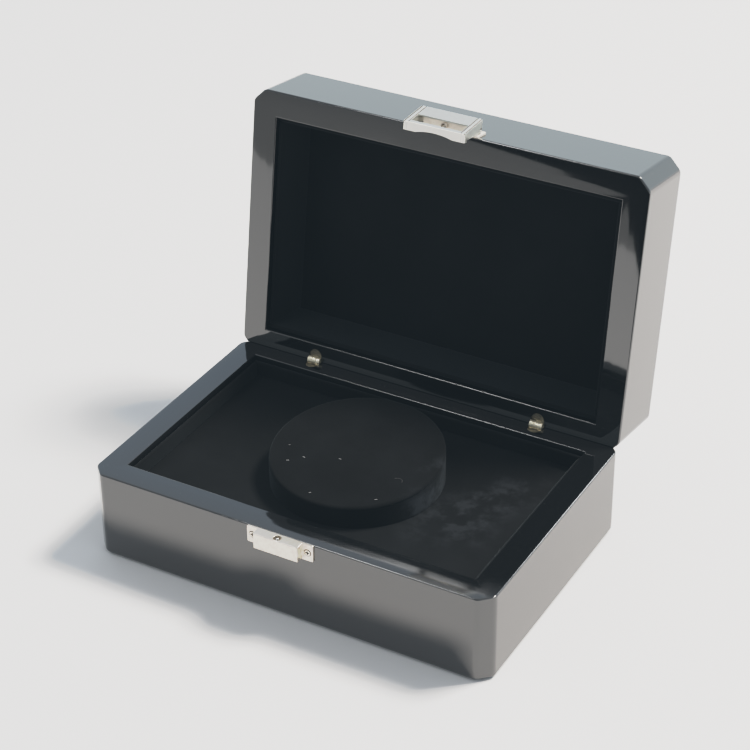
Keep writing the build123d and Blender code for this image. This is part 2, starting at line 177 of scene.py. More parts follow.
class Wire:
    """A shader socket that can stand in a Python expression on values."""

    def __init__(self, shader, socket):
        self.shader = shader
        self.socket = socket

    def combine(self, operation, first, second):
        """Adds the Math node of one operator."""
        return self.shader.node("ShaderNodeMath", {"operation": operation}, {0: first, 1: second})

    def __add__(self, other):
        return self.combine("ADD", self, other)

    def __radd__(self, other):
        return self.combine("ADD", other, self)

    def __sub__(self, other):
        return self.combine("SUBTRACT", self, other)

    def __rsub__(self, other):
        return self.combine("SUBTRACT", other, self)

    def __abs__(self):
        return self.combine("ABSOLUTE", self, 0.0)

    def __mul__(self, other):
        return self.combine("MULTIPLY", self, other)

    def __rmul__(self, other):
        return self.combine("MULTIPLY", other, self)

    def at_least(self, bottom):
        """The larger of two values."""
        return self.combine("MAXIMUM", self, bottom)

    def at_most(self, top):
        """The smaller of two values."""
        return self.combine("MINIMUM", self, top)


class Shader:
    """The nodes of one material or of the world, added one at a time."""

    def __init__(self, tree):
        self.tree = tree
        tree.nodes.clear()

    def node(self, kind, settings, sockets, output=0):
        """Adds a node: its settings first, then the values or links of its sockets."""
        made = self.tree.nodes.new(kind)
        for name, value in settings.items():
            if name == "stops":
                self.set_stops(made.color_ramp, value)
            else:
                setattr(made, name, value)
        for name, value in sockets.items():
            if isinstance(value, Wire):
                self.tree.links.new(value.socket, made.inputs[name])
            else:
                made.inputs[name].default_value = value
        return Wire(self, made.outputs[output]) if made.outputs else None

    def set_stops(self, ramp, stops):
        """Gives a colour ramp its stops, in rising order."""
        ramp.elements[0].position = stops[0][0]
        ramp.elements[1].position = stops[-1][0]
        for position, _ in stops[1:-1]:
            ramp.elements.new(position)
        for element, (_, colour) in zip(ramp.elements, stops):
            element.color = (*colour, 1)


def place_on(shader):
    """Coordinates fixed to the piece."""
    return shader.node("ShaderNodeTexCoord", {}, {}, "Object")


def noise_on(shader, place, scale, detail=2.0, roughness=0.5):
    """Soft noise from 0 to 1, with so many cells to the metre."""
    return shader.node("ShaderNodeTexNoise", {"noise_dimensions": "3D"},
                       {"Vector": place, "Scale": scale, "Detail": detail, "Roughness": roughness})


def rise(shader, value, low, high, bottom=0.0, top=1.0):
    """Smooth rise from bottom to top while the value goes from low to high."""
    return shader.node("ShaderNodeMapRange", {"interpolation_type": "SMOOTHSTEP"},
                       {"Value": value, "From Min": low, "From Max": high,
                        "To Min": bottom, "To Max": top})


def blend_colours(shader, share, first, second):
    """Mixes two colours by a share from 0 to 1."""
    sockets = {0: share}
    for name, colour in ((6, first), (7, second)):
        sockets[name] = colour if isinstance(colour, Wire) else (*colour, 1)
    return shader.node("ShaderNodeMix", {"data_type": "RGBA"}, sockets, 2)


def bumped(shader, height, depth, strength=1.0):
    """Normal of a relief whose height from 0 to 1 stands for a depth in metres."""
    return shader.node("ShaderNodeBump", {}, {"Height": height, "Distance": depth, "Strength": strength})


def part_of(shader, place, axis):
    """One coordinate of a place."""
    return shader.node("ShaderNodeSeparateXYZ", {}, {"Vector": place}, axis)


def flattened(shader, place, kept):
    """A place with 0 for the axes that aren't kept; kept holds 1 or 0 for each axis."""
    return shader.node("ShaderNodeVectorMath", {"operation": "MULTIPLY"}, {0: place, 1: kept})


def distance(shader, place, centre):
    """How far a place lies from a point."""
    return shader.node("ShaderNodeVectorMath", {"operation": "DISTANCE"}, {0: place, 1: centre}, "Value")


def fade(shader, value, low, high):
    """1 up to the low value, falling softly to 0 at the high one."""
    return rise(shader, value, low, high, 1.0, 0.0)


def material(name, surface_of):
    """A material whose surface the given function builds."""
    made = bpy.data.materials.new(name)
    made.use_nodes = True
    shader = Shader(made.node_tree)
    shader.node("ShaderNodeOutputMaterial", {}, {"Surface": surface_of(shader)})
    return made


def principled(shader, **sockets):
    """The main surface node; socket names are written with _ for a space."""
    named = {name.replace("_", " "): value for name, value in sockets.items()}
    return shader.node("ShaderNodeBsdfPrincipled", {}, named)


# Finishes


def shut_place(shader, place):
    """The open lid's coordinates turned back to where they are with the lid shut."""
    turn = Matrix.Rotation(LID_OPEN, 3, "X")
    return shader.node("ShaderNodeMapping", {"vector_type": "POINT"},
                       {"Vector": place, "Location": HINGE - turn @ HINGE, "Rotation": (LID_OPEN, 0, 0)})


def rim_relief(shader, place, opening):
    """Height of the rims, in metres: flat in the middle, falling to the outside and a little inwards."""
    wanted = bpy.context.scene.box_lacquer
    fall_start, fall_width = 0.0085, 0.0065
    dip_width = 0.006
    rim_height, wall_height = 0.002, 0.02
    across = [abs(part_of(shader, place, axis)) - half for axis, half in zip("XY", opening)]
    out = across[0].at_least(across[1])
    fall = (out - fall_start).at_least(0.0) * (1 / fall_width)
    dip = fade(shader, out, 0.0, dip_width)
    on_rim = fade(shader, abs(part_of(shader, place, "Z") - HINGE.z), rim_height, wall_height)
    return 0.0 - fall * fall * wanted.rim_fall - dip * on_rim * wanted.rim_dip


def seam_shade_share(shader, place):
    """1 on the bevel faces that meet behind the hinges, where the seam is painted matt black as shade, 0
    elsewhere.
    """
    line_border = (-0.0002, 0.0001)
    slope_border = (0.0003, 0.0006)
    behind = part_of(shader, place, "Y") - HINGE.y
    over = abs(part_of(shader, place, "Z") - HINGE.z) - behind * math.tan(LID_OPEN / 2)
    return rise(shader, behind, *line_border) * fade(shader, over, *slope_border)


def lacquer_finish(name, on_lid):
    """Deep black lacquer: crowned rims, faint waves, dulled patches, a little dust, and painted shade on
    the bevel faces behind the hinges.
    """
    wanted = bpy.context.scene.box_lacquer
    floor_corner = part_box("tray_floor")[1]
    floor_gap = 0.0003
    opening = (floor_corner.x + floor_gap, floor_corner.y + floor_gap)
    dust_colour = (0.05, 0.05, 0.05)
    dust_roughness = 0.3

    def surface(shader):
        place = place_on(shader)
        dull = rise(shader, noise_on(shader, place, 11, 3), 0.5, 0.75)
        waves = noise_on(shader, place, 62, 1)
        dust = rise(shader, noise_on(shader, place, 1900, 0), 0.83, 0.9)
        colour = blend_colours(shader, dust, tuple(wanted.colour), dust_colour)
        upright = shut_place(shader, place) if on_lid else place
        relief = rim_relief(shader, upright, opening)
        polished = principled(shader, Base_Color=colour,
                              Roughness=dull * wanted.smudge + dust * dust_roughness + wanted.gloss,
                              IOR=wanted.index,
                              Normal=bumped(shader, waves * wanted.ripple + relief, depth=1.0))
        # Painted shade: matt black without reflection on the seam's bevel faces, so the gap between lid
        # and base reads dark
        matt_seam_shade = principled(shader, Base_Color=(0.004, 0.004, 0.004, 1), Roughness=1.0,
                          Specular_IOR_Level=0.0)
        seam_shade = seam_shade_share(shader, upright)
        return shader.node("ShaderNodeMixShader", {}, {0: seam_shade, 1: polished, 2: matt_seam_shade})

    return material(name, surface)


def velvet_finish(name, nap_and_light_places, reach=0.04, depth=1.0, strength=1.0):
    """Black velvet: pile, soft variation, and lighter patches within reach of the given points, partly
    nap and partly painted light.

    The depth scales the colour and the sheen of the lying pile, painting each copy of the cloth lighter
    or darker for how lit it stands, the strength the patches' colour.
    """
    wanted = bpy.context.scene.box_velvet
    lie_share = 0.45 / strength

    def surface(shader):
        place = place_on(shader)
        cloud = noise_on(shader, place, 75, 5, 0.62)
        lie_and_light = rise(shader, noise_on(shader, place, 17, 4, 0.6), 0.35, 0.75) * lie_share
        # Painted light: paler patches near the given points, partly nap
        for centre in nap_and_light_places:
            near = fade(shader, distance(shader, place, centre), 0.0, reach)
            lie_and_light = lie_and_light + near * rise(shader, cloud, 0.42, 0.72)
        pile = noise_on(shader, place, 2600, 1)
        colour = blend_colours(shader, lie_and_light, tuple(depth * part for part in wanted.colour),
                               tuple(strength * part for part in wanted.paler_nap_and_light))
        return principled(shader, Base_Color=colour, Roughness=0.95,
                          Sheen_Weight=depth * wanted.sheen, Sheen_Roughness=0.35,
                          Sheen_Tint=(0.75, 0.9, 1.0, 1), Specular_IOR_Level=0.15,
                          Normal=bumped(shader, pile, wanted.pile, 0.6))

    return material(name, surface)


def metal_finish(name, colour, roughness, grain=0.00002, metallic=1.0):
    """Metal with a fine cast grain and slightly uneven gloss."""

    def surface(shader):
        place = place_on(shader)
        wear = noise_on(shader, place, 420, 3, 0.6)
        tint = blend_colours(shader, rise(shader, wear, 0.3, 0.8),
                             tuple(colour), tuple(0.86 * part for part in colour))
        return principled(shader, Base_Color=tint, Metallic=metallic,
                          Roughness=rise(shader, wear, 0.2, 0.8, 0.8 * roughness, 1.25 * roughness),
                          Normal=bumped(shader, noise_on(shader, place, 3000, 1), grain, 0.5))

    return material(name, surface)


def screw_finish(name, colour, out, places, on_lid):
    """Screw metal with painted shade in the cross recess and in the countersink round the head."""
    recess = (0.0002, 0.0004)
    ring, border = 0.0017, 0.0001
    head = 0.0021
    shade_metal = (0.03, 0.028, 0.025)

    def surface(shader):
        place = place_on(shader)
        upright = shut_place(shader, place) if on_lid else place
        # Painted shade where the recess sinks below the head, and in a ring round each head
        painted_shade = rise(shader, part_of(shader, upright, "Y") - out, *recess)
        flat = flattened(shader, upright, (1, 0, 1))
        for centre in places:
            away = distance(shader, flat, centre)
            sink_shade = rise(shader, away, ring - border, ring + border)
            painted_shade = painted_shade + sink_shade * fade(shader, away, head, 2 * head)
        tint = blend_colours(shader, painted_shade.at_most(1.0), tuple(colour), shade_metal)
        return principled(shader, Base_Color=tint, Metallic=1.0,
                          Roughness=rise(shader, noise_on(shader, place, 900), 0.2, 0.8, 0.2, 0.32))

    return material(name, surface)


def hinge_finish(name, on_lid):
    """Speckled plated brass, bright on the knuckles, with painted shade dimming the barrels' ends."""
    wanted = bpy.context.scene.box_metal
    knuckle = (0.0024, 0.0028)
    end_shade_share, speckle_share = 0.8, 0.5

    def surface(shader):
        place = place_on(shader)
        upright = shut_place(shader, place) if on_lid else place
        away = distance(shader, flattened(shader, upright, (0, 1, 1)), (0, HINGE.y, HINGE.z))
        speckle = noise_on(shader, place, 1100, 3, 0.7)
        # Painted shade on the barrels' ends beyond the knuckles, plus speckles in the plating
        dull = rise(shader, away, *knuckle) * end_shade_share + rise(shader, speckle, 0.5, 0.68) * speckle_share
        tint = blend_colours(shader, dull.at_most(1.0), tuple(wanted.brass),
                             tuple(wanted.end_shade * part for part in wanted.brass))
        return principled(shader, Base_Color=tint, Metallic=0.85,
                          Roughness=rise(shader, speckle, 0.3, 0.7, 0.25, 0.45),
                          Normal=bumped(shader, speckle, 0.0003, 0.8))

    return material(name, surface)


def flap_finish(name, low, high):
    """Nickel flap, its broad face painted darker, with painted shade in each groove, painted highlights
    along each ridge of the side bars, and a painted highlight on its free edge face.
    """
    wanted = bpy.context.scene.box_metal
    shaded_grooves = (high.x - 0.0007, high.x - 0.0029)
    highlight_lines = (high.x - 0.0013, high.x - 0.0023)
    groove_border = (0.0003, 0.0005)
    highlight_border = (0.0002, 0.0004)
    lit_end_border = (low.z + 0.0002, low.z + 0.0004)
    lit_end_body, highlight_roughness = 0.15, 0.2
    highlight_metal = (1.0, 0.94, 0.85)
    groove_shade_metal = (0.22, 0.2, 0.18)

    def surface(shader):
        place = place_on(shader)
        upright = shut_place(shader, place)
        side = abs(part_of(shader, upright, "X"))
        wear = noise_on(shader, place, 420, 3, 0.6)
        tint = blend_colours(shader, rise(shader, wear, 0.3, 0.8),
                             tuple(wanted.flap), tuple(0.9 * part for part in wanted.flap))
        # Painted highlight on the flap's free edge face, made brighter and less metallic
        lit_end = fade(shader, part_of(shader, upright, "Z"), *lit_end_border)
        # Painted highlights along each ridge line of the side bars
        painted_highlight = sum(fade(shader, abs(side - line), *highlight_border) for line in highlight_lines)
        tint = blend_colours(shader, lit_end.at_least(painted_highlight), tint, highlight_metal)
        # Painted shade in each groove
        painted_shade = sum(fade(shader, abs(side - line), *groove_border) for line in shaded_grooves)
        tint = blend_colours(shader, painted_shade * (1.0 - lit_end), tint, groove_shade_metal)
        return principled(shader, Base_Color=tint,
                          Metallic=rise(shader, lit_end, 0.0, 1.0, wanted.body, lit_end_body),
                          Roughness=rise(shader, painted_highlight, 0.0, 1.0, wanted.satin, highlight_roughness),
                          Normal=bumped(shader, noise_on(shader, place, 3000, 1), 0.00002, 0.5))

    return material(name, surface)


def felt_finish():
    """Matted black felt."""

    def surface(shader):
        place = place_on(shader)
        fibres = noise_on(shader, place, 900, 5, 0.75)
        colour = blend_colours(shader, fibres, (0.008, 0.008, 0.009), (0.035, 0.035, 0.037))
        return principled(shader, Base_Color=colour, Roughness=1.0, Sheen_Weight=0.2,
                          Specular_IOR_Level=0.1, Normal=bumped(shader, fibres, 0.0003))

    return material("felt", surface)


def fibreboard_finish():
    """Bare fibreboard, mottled with darker flecks."""

    def surface(shader):
        place = place_on(shader)
        flecks = noise_on(shader, place, 700, 4, 0.7)
        colour = blend_colours(shader, rise(shader, flecks, 0.35, 0.7),
                               (0.33, 0.21, 0.11), (0.5, 0.35, 0.2))
        return principled(shader, Base_Color=colour, Roughness=0.85,
                          Normal=bumped(shader, flecks, 0.0001))

    return material("fibreboard", surface)


def lint_finish(name, share):
    """Pale lint, dimmed to a share where it is fine and half sunk in the pile."""

    def surface(shader):
        place = place_on(shader)
        tint = blend_colours(shader, noise_on(shader, place, 800),
                             (0.3 * share,) * 3, (0.6 * share,) * 3)
        return principled(shader, Base_Color=tint, Roughness=0.8)

    return material(name, surface)


def card_finish(name, shade):
    """Matt studio card."""

    def surface(shader):
        mottle = noise_on(shader, place_on(shader), 4)
        tint = blend_colours(shader, mottle, (shade,) * 3, (1.1 * shade,) * 3)
        return principled(shader, Base_Color=tint, Roughness=1.0, Specular_IOR_Level=0.0)

    return material(name, surface)


def floor_finish():
    """Plain pale floor with the faintest mottling."""
    wanted = bpy.context.scene.box_studio

    def surface(shader):
        place = place_on(shader)
        paler = tuple(min(1.0, 1.02 * part) for part in wanted.floor)
        tint = blend_colours(shader, noise_on(shader, place, 3, 3), tuple(wanted.floor), paler)
        return principled(shader, Base_Color=tint, Roughness=0.9, Specular_IOR_Level=0.1)

    return material("floor", surface)


# Meshes


def turned_open(bm):
    """Turns what was modelled on the shut lid to the open lid's place."""
    bmesh.ops.rotate(bm, verts=bm.verts, cent=HINGE, matrix=Matrix.Rotation(-LID_OPEN, 3, "X"))


def shut_box(node):
    """Lowest and highest corners of a node of the lid with the lid shut."""
    shut = Matrix.Rotation(LID_OPEN, 3, "X")
    points = [shut @ (vertex.co - HINGE) + HINGE for vertex in NODES[node].data.vertices]
    low = Vector([min(point[axis] for point in points) for axis in range(3)])
    high = Vector([max(point[axis] for point in points) for axis in range(3)])
    return low, high


def finished(bm, name, finish, body, replaced=()):
    """Turns a bmesh into a shown piece that rides on a body and stands for the named nodes."""
    mesh = bpy.data.meshes.new(name)
    bm.to_mesh(mesh)
    bm.free()
    mesh.shade_smooth()
    mesh.set_sharp_from_angle(angle=CREASE)
    mesh.materials.append(finish)
    piece = bpy.data.objects.new(name, mesh)
    bpy.context.scene.collection.objects.link(piece)
    weighted = piece.modifiers.new("weighted normals", "WEIGHTED_NORMAL")
    weighted.keep_sharp = True
    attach(piece, body)
    if replaced:
        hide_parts(*replaced)
    return piece


def paint(node, finish):
    """Gives a CAD node a finish in place of the plain one."""
    slots = NODES[node].material_slots
    for slot in slots:
        slot.material = finish
    if not slots:
        NODES[node].data.materials.append(finish)


def wander(bm, cell, seed):
    """Lets a cloth surface stray from flat by up to the unevenness, always towards the board."""
    amount = bpy.context.scene.box_velvet.unevenness
    bm.normal_update()
    for vertex in bm.verts:
        wave = noise.noise(vertex.co / cell + Vector((seed, seed, seed)))
        vertex.co += vertex.normal * amount * (0.5 * wave - 0.5)


def round_edges(bm, edges, width, segments):
    """Rounds the named edges."""
    bmesh.ops.bevel(bm, geom=edges, offset=width, segments=segments, profile=0.5,
                    affect="EDGES", material=-1)


def covered_board(low, high, spacing=0.006):
    """A cloth-covered board between two corners, its edges rounded."""
    wanted = bpy.context.scene.box_velvet
    bm = bmesh.new()
    bmesh.ops.create_cube(bm, size=1)
    bmesh.ops.scale(bm, vec=high - low, verts=bm.verts)
    bmesh.ops.translate(bm, vec=(high + low) / 2, verts=bm.verts)
    round_edges(bm, bm.edges[:], wanted.edge, 3)
    for axis in range(3):
        along = [edge for edge in bm.edges
                 if abs((edge.verts[1].co - edge.verts[0].co)[axis]) > 2 * spacing]
        if along:
            length = max(edge.calc_length() for edge in along)
            bmesh.ops.subdivide_edges(bm, edges=along, cuts=round(length / spacing) - 1,
                                      use_grid_fill=True)
    return bm


# Operators


class JEWELRYBOX_OT_lacquer(Operator):
    """Lacquers the boards and panels of the base and the lid"""

    bl_idname = "jewelrybox.lacquer"
    bl_label = "Lacquered boards"

    def execute(self, context):
        base_finish = lacquer_finish("base_lacquer", False)
        lid_finish = lacquer_finish("lid_lacquer", True)
        for side in WALLS:
            paint(f"base_{side}_board", base_finish)
            paint(f"lid_{side}_board", lid_finish)
        paint("base_bottom_panel", base_finish)
        paint("lid_top_panel", lid_finish)
        return {"FINISHED"}


class JEWELRYBOX_OT_tray(Operator):
    """Covers the tray's floor board and its four linings with velvet"""

    bl_idname = "jewelrybox.tray"
    bl_label = "Tray velvet"

    # Paler patches on the tray's front right, partly nap and partly painted light where the key falls
    nap_and_light_places = ((0.0702, 0.0081, 0.0405), (0.0775, 0.0173, 0.0405), (0.0828, 0.0308, 0.0405),
                      (0.0628, -0.0063, 0.0405), (0.0758, -0.0144, 0.0405), (0.0550, -0.0200, 0.0405))

    def execute(self, context):
        # depth 0.8 paints this copy of the velvet darker than the lid's
        finish = velvet_finish("tray_velvet", self.nap_and_light_places, reach=0.026, depth=0.8, strength=1.5)
        for number, node in enumerate(["tray_floor"] + [f"tray_lining_{side}" for side in WALLS]):
            bm = covered_board(*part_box(node))
            wander(bm, cell=0.03, seed=number)
            piece = finished(bm, f"velvet_{node}", finish, "base", [node])
        return {"FINISHED"}


def drum_shape():
    """Radius of the drum, height where the pad meets the band at the axis, and the slope of both."""
    pad_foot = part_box("drum_pad")[0].z
    band_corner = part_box("drum_band")[1]
    slope = (band_corner.z - pad_foot) / (2 * band_corner.x)
    return band_corner.x, (band_corner.z + pad_foot) / 2, slope


class JEWELRYBOX_OT_drum(Operator):
    """Makes the velvet drum: a band round the side and a slanted pad on top"""

    bl_idname = "jewelrybox.drum"
    bl_label = "Velvet drum"

    # Painted highlight on the drum's right side, where the key light falls
    nap_and_light_places = ((0.0476, 0.0053, 0.0508), (0.0477, -0.0039, 0.0436), (0.0450, -0.0160, 0.0440))
    steps = 128
    rings = 12
    seam = 0.0004
    cloth_thickness = 0.0018
    tiny = 1e-6

    def spun(self, outline):
        """Closed solid of revolution about the drum's axis from its outline."""
        bm = bmesh.new()
        corners = [bm.verts.new(point) for point in outline]
        for first, second in zip(corners, corners[1:]):
            bm.edges.new((first, second))
        bmesh.ops.spin(bm, geom=bm.verts[:] + bm.edges[:], cent=(0, 0, 0), axis=(0, 0, 1),
                       angle=math.tau, steps=self.steps, use_merge=True, use_duplicate=False)
        bmesh.ops.remove_doubles(bm, verts=bm.verts, dist=self.tiny)
        bmesh.ops.recalc_face_normals(bm, faces=bm.faces)
        return bm

    def level_rings(self, bm, radius):
        """Edges that run level round the drum at a radius."""
        return [edge for edge in bm.edges
                if all(abs(vertex.co.xy.length - radius) < self.tiny for vertex in edge.verts)
                and abs(edge.verts[0].co.z - edge.verts[1].co.z) < self.tiny]

    def execute(self, context):
        # depth 0.4 paints this copy of the velvet darker, and strength 3 brightens its painted highlight
        finish = velvet_finish("drum_velvet", self.nap_and_light_places, reach=0.018, depth=0.4, strength=3.0)
        for name, bm, fill in (("drum_pad", self.pad(), 0.7), ("drum_band", self.band(), 0.5)):
            piece = finished(bm, f"velvet_{name}", finish, "base", [name])
        return {"FINISHED"}

    def pad(self):
        """Crowned pad with a rounded shoulder, sheared to the drum's slope."""
        wanted = bpy.context.scene.box_velvet
        radius, seat, slope = drum_shape()
        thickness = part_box("drum_pad")[1].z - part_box("drum_band")[1].z
        # The shoulder takes the highest point inwards, and the slope makes up for what that loses
        top = seat + thickness + wanted.shoulder * slope
        outline = [(0, 0, seat), (radius, 0, seat)]
        for ring in range(self.rings + 1):
            share = 1 - ring / self.rings
            outline.append((radius * share, 0, top - wanted.crown * share ** 2))
        bm = self.spun(outline)
        outside = self.level_rings(bm, radius)
        rim = [edge for edge in outside if edge.verts[0].co.z > seat + self.tiny]
        foot = [edge for edge in outside if edge not in rim]
        round_edges(bm, rim, wanted.shoulder, 5)
        round_edges(bm, [edge for edge in foot if edge.is_valid], self.seam, 2)
        slant = Matrix.Identity(4)
        slant[2][1] = slope
        bmesh.ops.transform(bm, matrix=slant, verts=bm.verts)
        wander(bm, cell=0.025, seed=7)
        return bm

    def band(self):
        """Band of cloth that rises from a level foot to the slanted pad."""
        radius, seat, slope = drum_shape()
        inner = radius - self.cloth_thickness
        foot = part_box("drum_band")[0].z
        height = seat - foot
        bm = self.spun([(inner, 0, foot), (radius, 0, foot), (radius, 0, seat), (inner, 0, seat),
                        (inner, 0, foot)])
        round_edges(bm, self.level_rings(bm, radius), self.seam, 2)
        upright = [edge for edge in bm.edges if edge.calc_length() > 0.5 * height]
        bmesh.ops.subdivide_edges(bm, edges=upright, cuts=7, use_grid_fill=True)
        for vertex in bm.verts:
            vertex.co.z += slope * vertex.co.y * (vertex.co.z - foot) / height
        wander(bm, cell=0.02, seed=9)
        return bm


class JEWELRYBOX_OT_lid_velvet(Operator):
    """Covers the lid's back board and its four sides with velvet"""

    bl_idname = "jewelrybox.lid_velvet"
    bl_label = "Lid velvet"

    def execute(self, context):
        # depth 1.1 paints this copy of the velvet lighter than the tray's and the drum's
        finish = velvet_finish("lid_velvet", (), depth=1.1)
        for number, node in enumerate(["lid_lining_top"] + [f"lid_lining_{side}" for side in WALLS]):
            bm = covered_board(*shut_box(node))
            wander(bm, cell=0.035, seed=20 + number)
            turned_open(bm)
            piece = finished(bm, f"velvet_{node}", finish, "lid", [node])
        return {"FINISHED"}


def screw_spots(node):
    """How far out a pair of screws stands, and the two heads' centres on the plane Y = 0."""
    low, high = shut_box(node) if node.startswith("latch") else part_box(node)
    radius = (high.z - low.z) / 2
    height = (high.z + low.z) / 2
    return low.y, [(side, 0, height) for side in (low.x + radius, high.x - radius)]


def cast_copy(node, name, finish, body):
    """A CAD node's shape as one merged casting with softly worn edges."""
    weld, level = 2e-6, math.radians(1)
    bm = bmesh.new()
    bm.from_mesh(NODES[node].data)
    bmesh.ops.remove_doubles(bm, verts=bm.verts, dist=weld)
    bmesh.ops.dissolve_limit(bm, angle_limit=level, verts=bm.verts, edges=bm.edges)
    bmesh.ops.recalc_face_normals(bm, faces=bm.faces)
    piece = finished(bm, name, finish, body, [node])
    bevel = piece.modifiers.new("worn edges", "BEVEL")
    bevel.width = bpy.context.scene.box_metal.edge
    bevel.segments = 2
    bevel.limit_method = "ANGLE"
    bevel.angle_limit = CREASE
    bevel.harden_normals = False
    # The bevel comes before the weighted normals
    piece.modifiers.move(1, 0)
    return piece


class JEWELRYBOX_OT_keeper(Operator):
    """Finishes the keeper, its screws and its ball stud on the base's front"""

    bl_idname = "jewelrybox.keeper"
    bl_label = "Keeper"

    def execute(self, context):
        wanted = context.scene.box_metal
        nickel = metal_finish("keeper_nickel", wanted.nickel, wanted.satin, metallic=wanted.body)
        cast_copy("keeper", "keeper_casting", nickel, "base")
        paint("keeper_screws", screw_finish("screw_nickel", wanted.nickel,
                                            *screw_spots("keeper_screws"), False))
        paint("keeper_stud", metal_finish("polished_steel", wanted.steel, 0.1, grain=0.000002))
        return {"FINISHED"}


class JEWELRYBOX_OT_latch(Operator):
    """Finishes the latch mount, its socket, screws and pin, and the flap that swings on it"""

    bl_idname = "jewelrybox.latch"
    bl_label = "Latch"

    def execute(self, context):
        wanted = context.scene.box_metal
        nickel = metal_finish("latch_nickel", wanted.nickel, wanted.satin, metallic=wanted.shaded_body)
        cast_copy("latch_mount", "latch_mount_casting", nickel, "lid")
        flap = flap_finish("flap_nickel", *shut_box("latch_flap"))
        cast_copy("latch_flap", "latch_flap_casting", flap, "latch")
        paint("latch_socket", metal_finish("socket_nickel", wanted.nickel, 0.2, grain=0.000002))
        paint("latch_screws", screw_finish("latch_screw_nickel", wanted.nickel,
                                           *screw_spots("latch_screws"), True))
        paint("latch_pin", metal_finish("pin_steel", wanted.steel, 0.15, grain=0.000002))
        return {"FINISHED"}


class JEWELRYBOX_OT_hinges(Operator):
    """Finishes the two barrel hinges and their pins"""

    bl_idname = "jewelrybox.hinges"
    bl_label = "Barrel hinges"

    def execute(self, context):
        on_lid = hinge_finish("hinge_brass", True)
        on_base = hinge_finish("base_hinge_brass", False)
        for side in ("left", "right"):
            paint(f"hinge_lid_barrel_{side}", on_lid)
            paint(f"hinge_pin_{side}", on_lid)
            paint(f"hinge_base_barrel_{side}", on_base)
        return {"FINISHED"}


class JEWELRYBOX_OT_hidden(Operator):
    """Finishes what the linings hide, and the felt under the base"""

    bl_idname = "jewelrybox.hidden"
    bl_label = "Felt and hidden boards"

    def execute(self, context):
        paint("base_felt_pad", felt_finish())
        board = fibreboard_finish()
        paint("floor_risers", board)
        paint("drum_core", board)
        return {"FINISHED"}


class JEWELRYBOX_OT_lint(Operator):
    """Drops a few flecks of lint on the drum's top"""

    bl_idname = "jewelrybox.lint"
    bl_label = "Lint"

    flecks = ((-0.0295, -0.0237, 30, 1.0), (-0.0230, -0.0176, -10, 1.1), (-0.0046, -0.0107, 5, 1.0),
              (-0.0049, -0.0420, 40, 0.8), (0.0294, -0.0319, 30, 0.9), (-0.0353, -0.0119, 0, 0.7))
    fleck_size = (0.0020, 0.00026, 0.00012)
    fibre_centre = (0.0322, -0.0138)
    fibre_radius = 0.0026
    fibre_thickness = 0.00009
    fibre_turn = math.radians(150)
    middle_reach = 0.002

    def execute(self, context):
        slope = drum_shape()[2]
        pad = bpy.data.objects["velvet_drum_pad"].data
        level = max(vertex.co.z for vertex in pad.vertices if vertex.co.xy.length < self.middle_reach)
        bm = bmesh.new()
        for x, y, turn, size in self.flecks:
            made = bmesh.ops.create_icosphere(bm, subdivisions=1, radius=0.5)["verts"]
            bmesh.ops.scale(bm, vec=Vector(self.fleck_size) * size, verts=made)
            bmesh.ops.rotate(bm, cent=(0, 0, 0), verts=made,
                             matrix=Matrix.Rotation(math.radians(turn), 3, "Z"))
            bmesh.ops.translate(bm, vec=(x, y, level + slope * y), verts=made)
        finished(bm, "lint_flecks", lint_finish("lint", 1.0), "base")

        bm = bmesh.new()
        ring = bmesh.ops.create_circle(bm, cap_ends=True, segments=6,
                                       radius=self.fibre_thickness)["verts"]
        bmesh.ops.rotate(bm, cent=(0, 0, 0), verts=ring,
                         matrix=Matrix.Rotation(math.radians(90), 3, "X"))
        bmesh.ops.translate(bm, vec=(self.fibre_radius, 0, 0), verts=ring)
        bmesh.ops.spin(bm, geom=bm.verts[:] + bm.edges[:] + bm.faces[:], cent=(0, 0, 0),
                       axis=(0, 0, 1), angle=self.fibre_turn, steps=12, use_duplicate=False)
        x, y = self.fibre_centre
        bmesh.ops.translate(bm, vec=(x, y, level + slope * y), verts=bm.verts)
        bmesh.ops.recalc_face_normals(bm, faces=bm.faces)
        finished(bm, "lint_fibre", lint_finish("fine_lint", 0.12), "base")
        return {"FINISHED"}


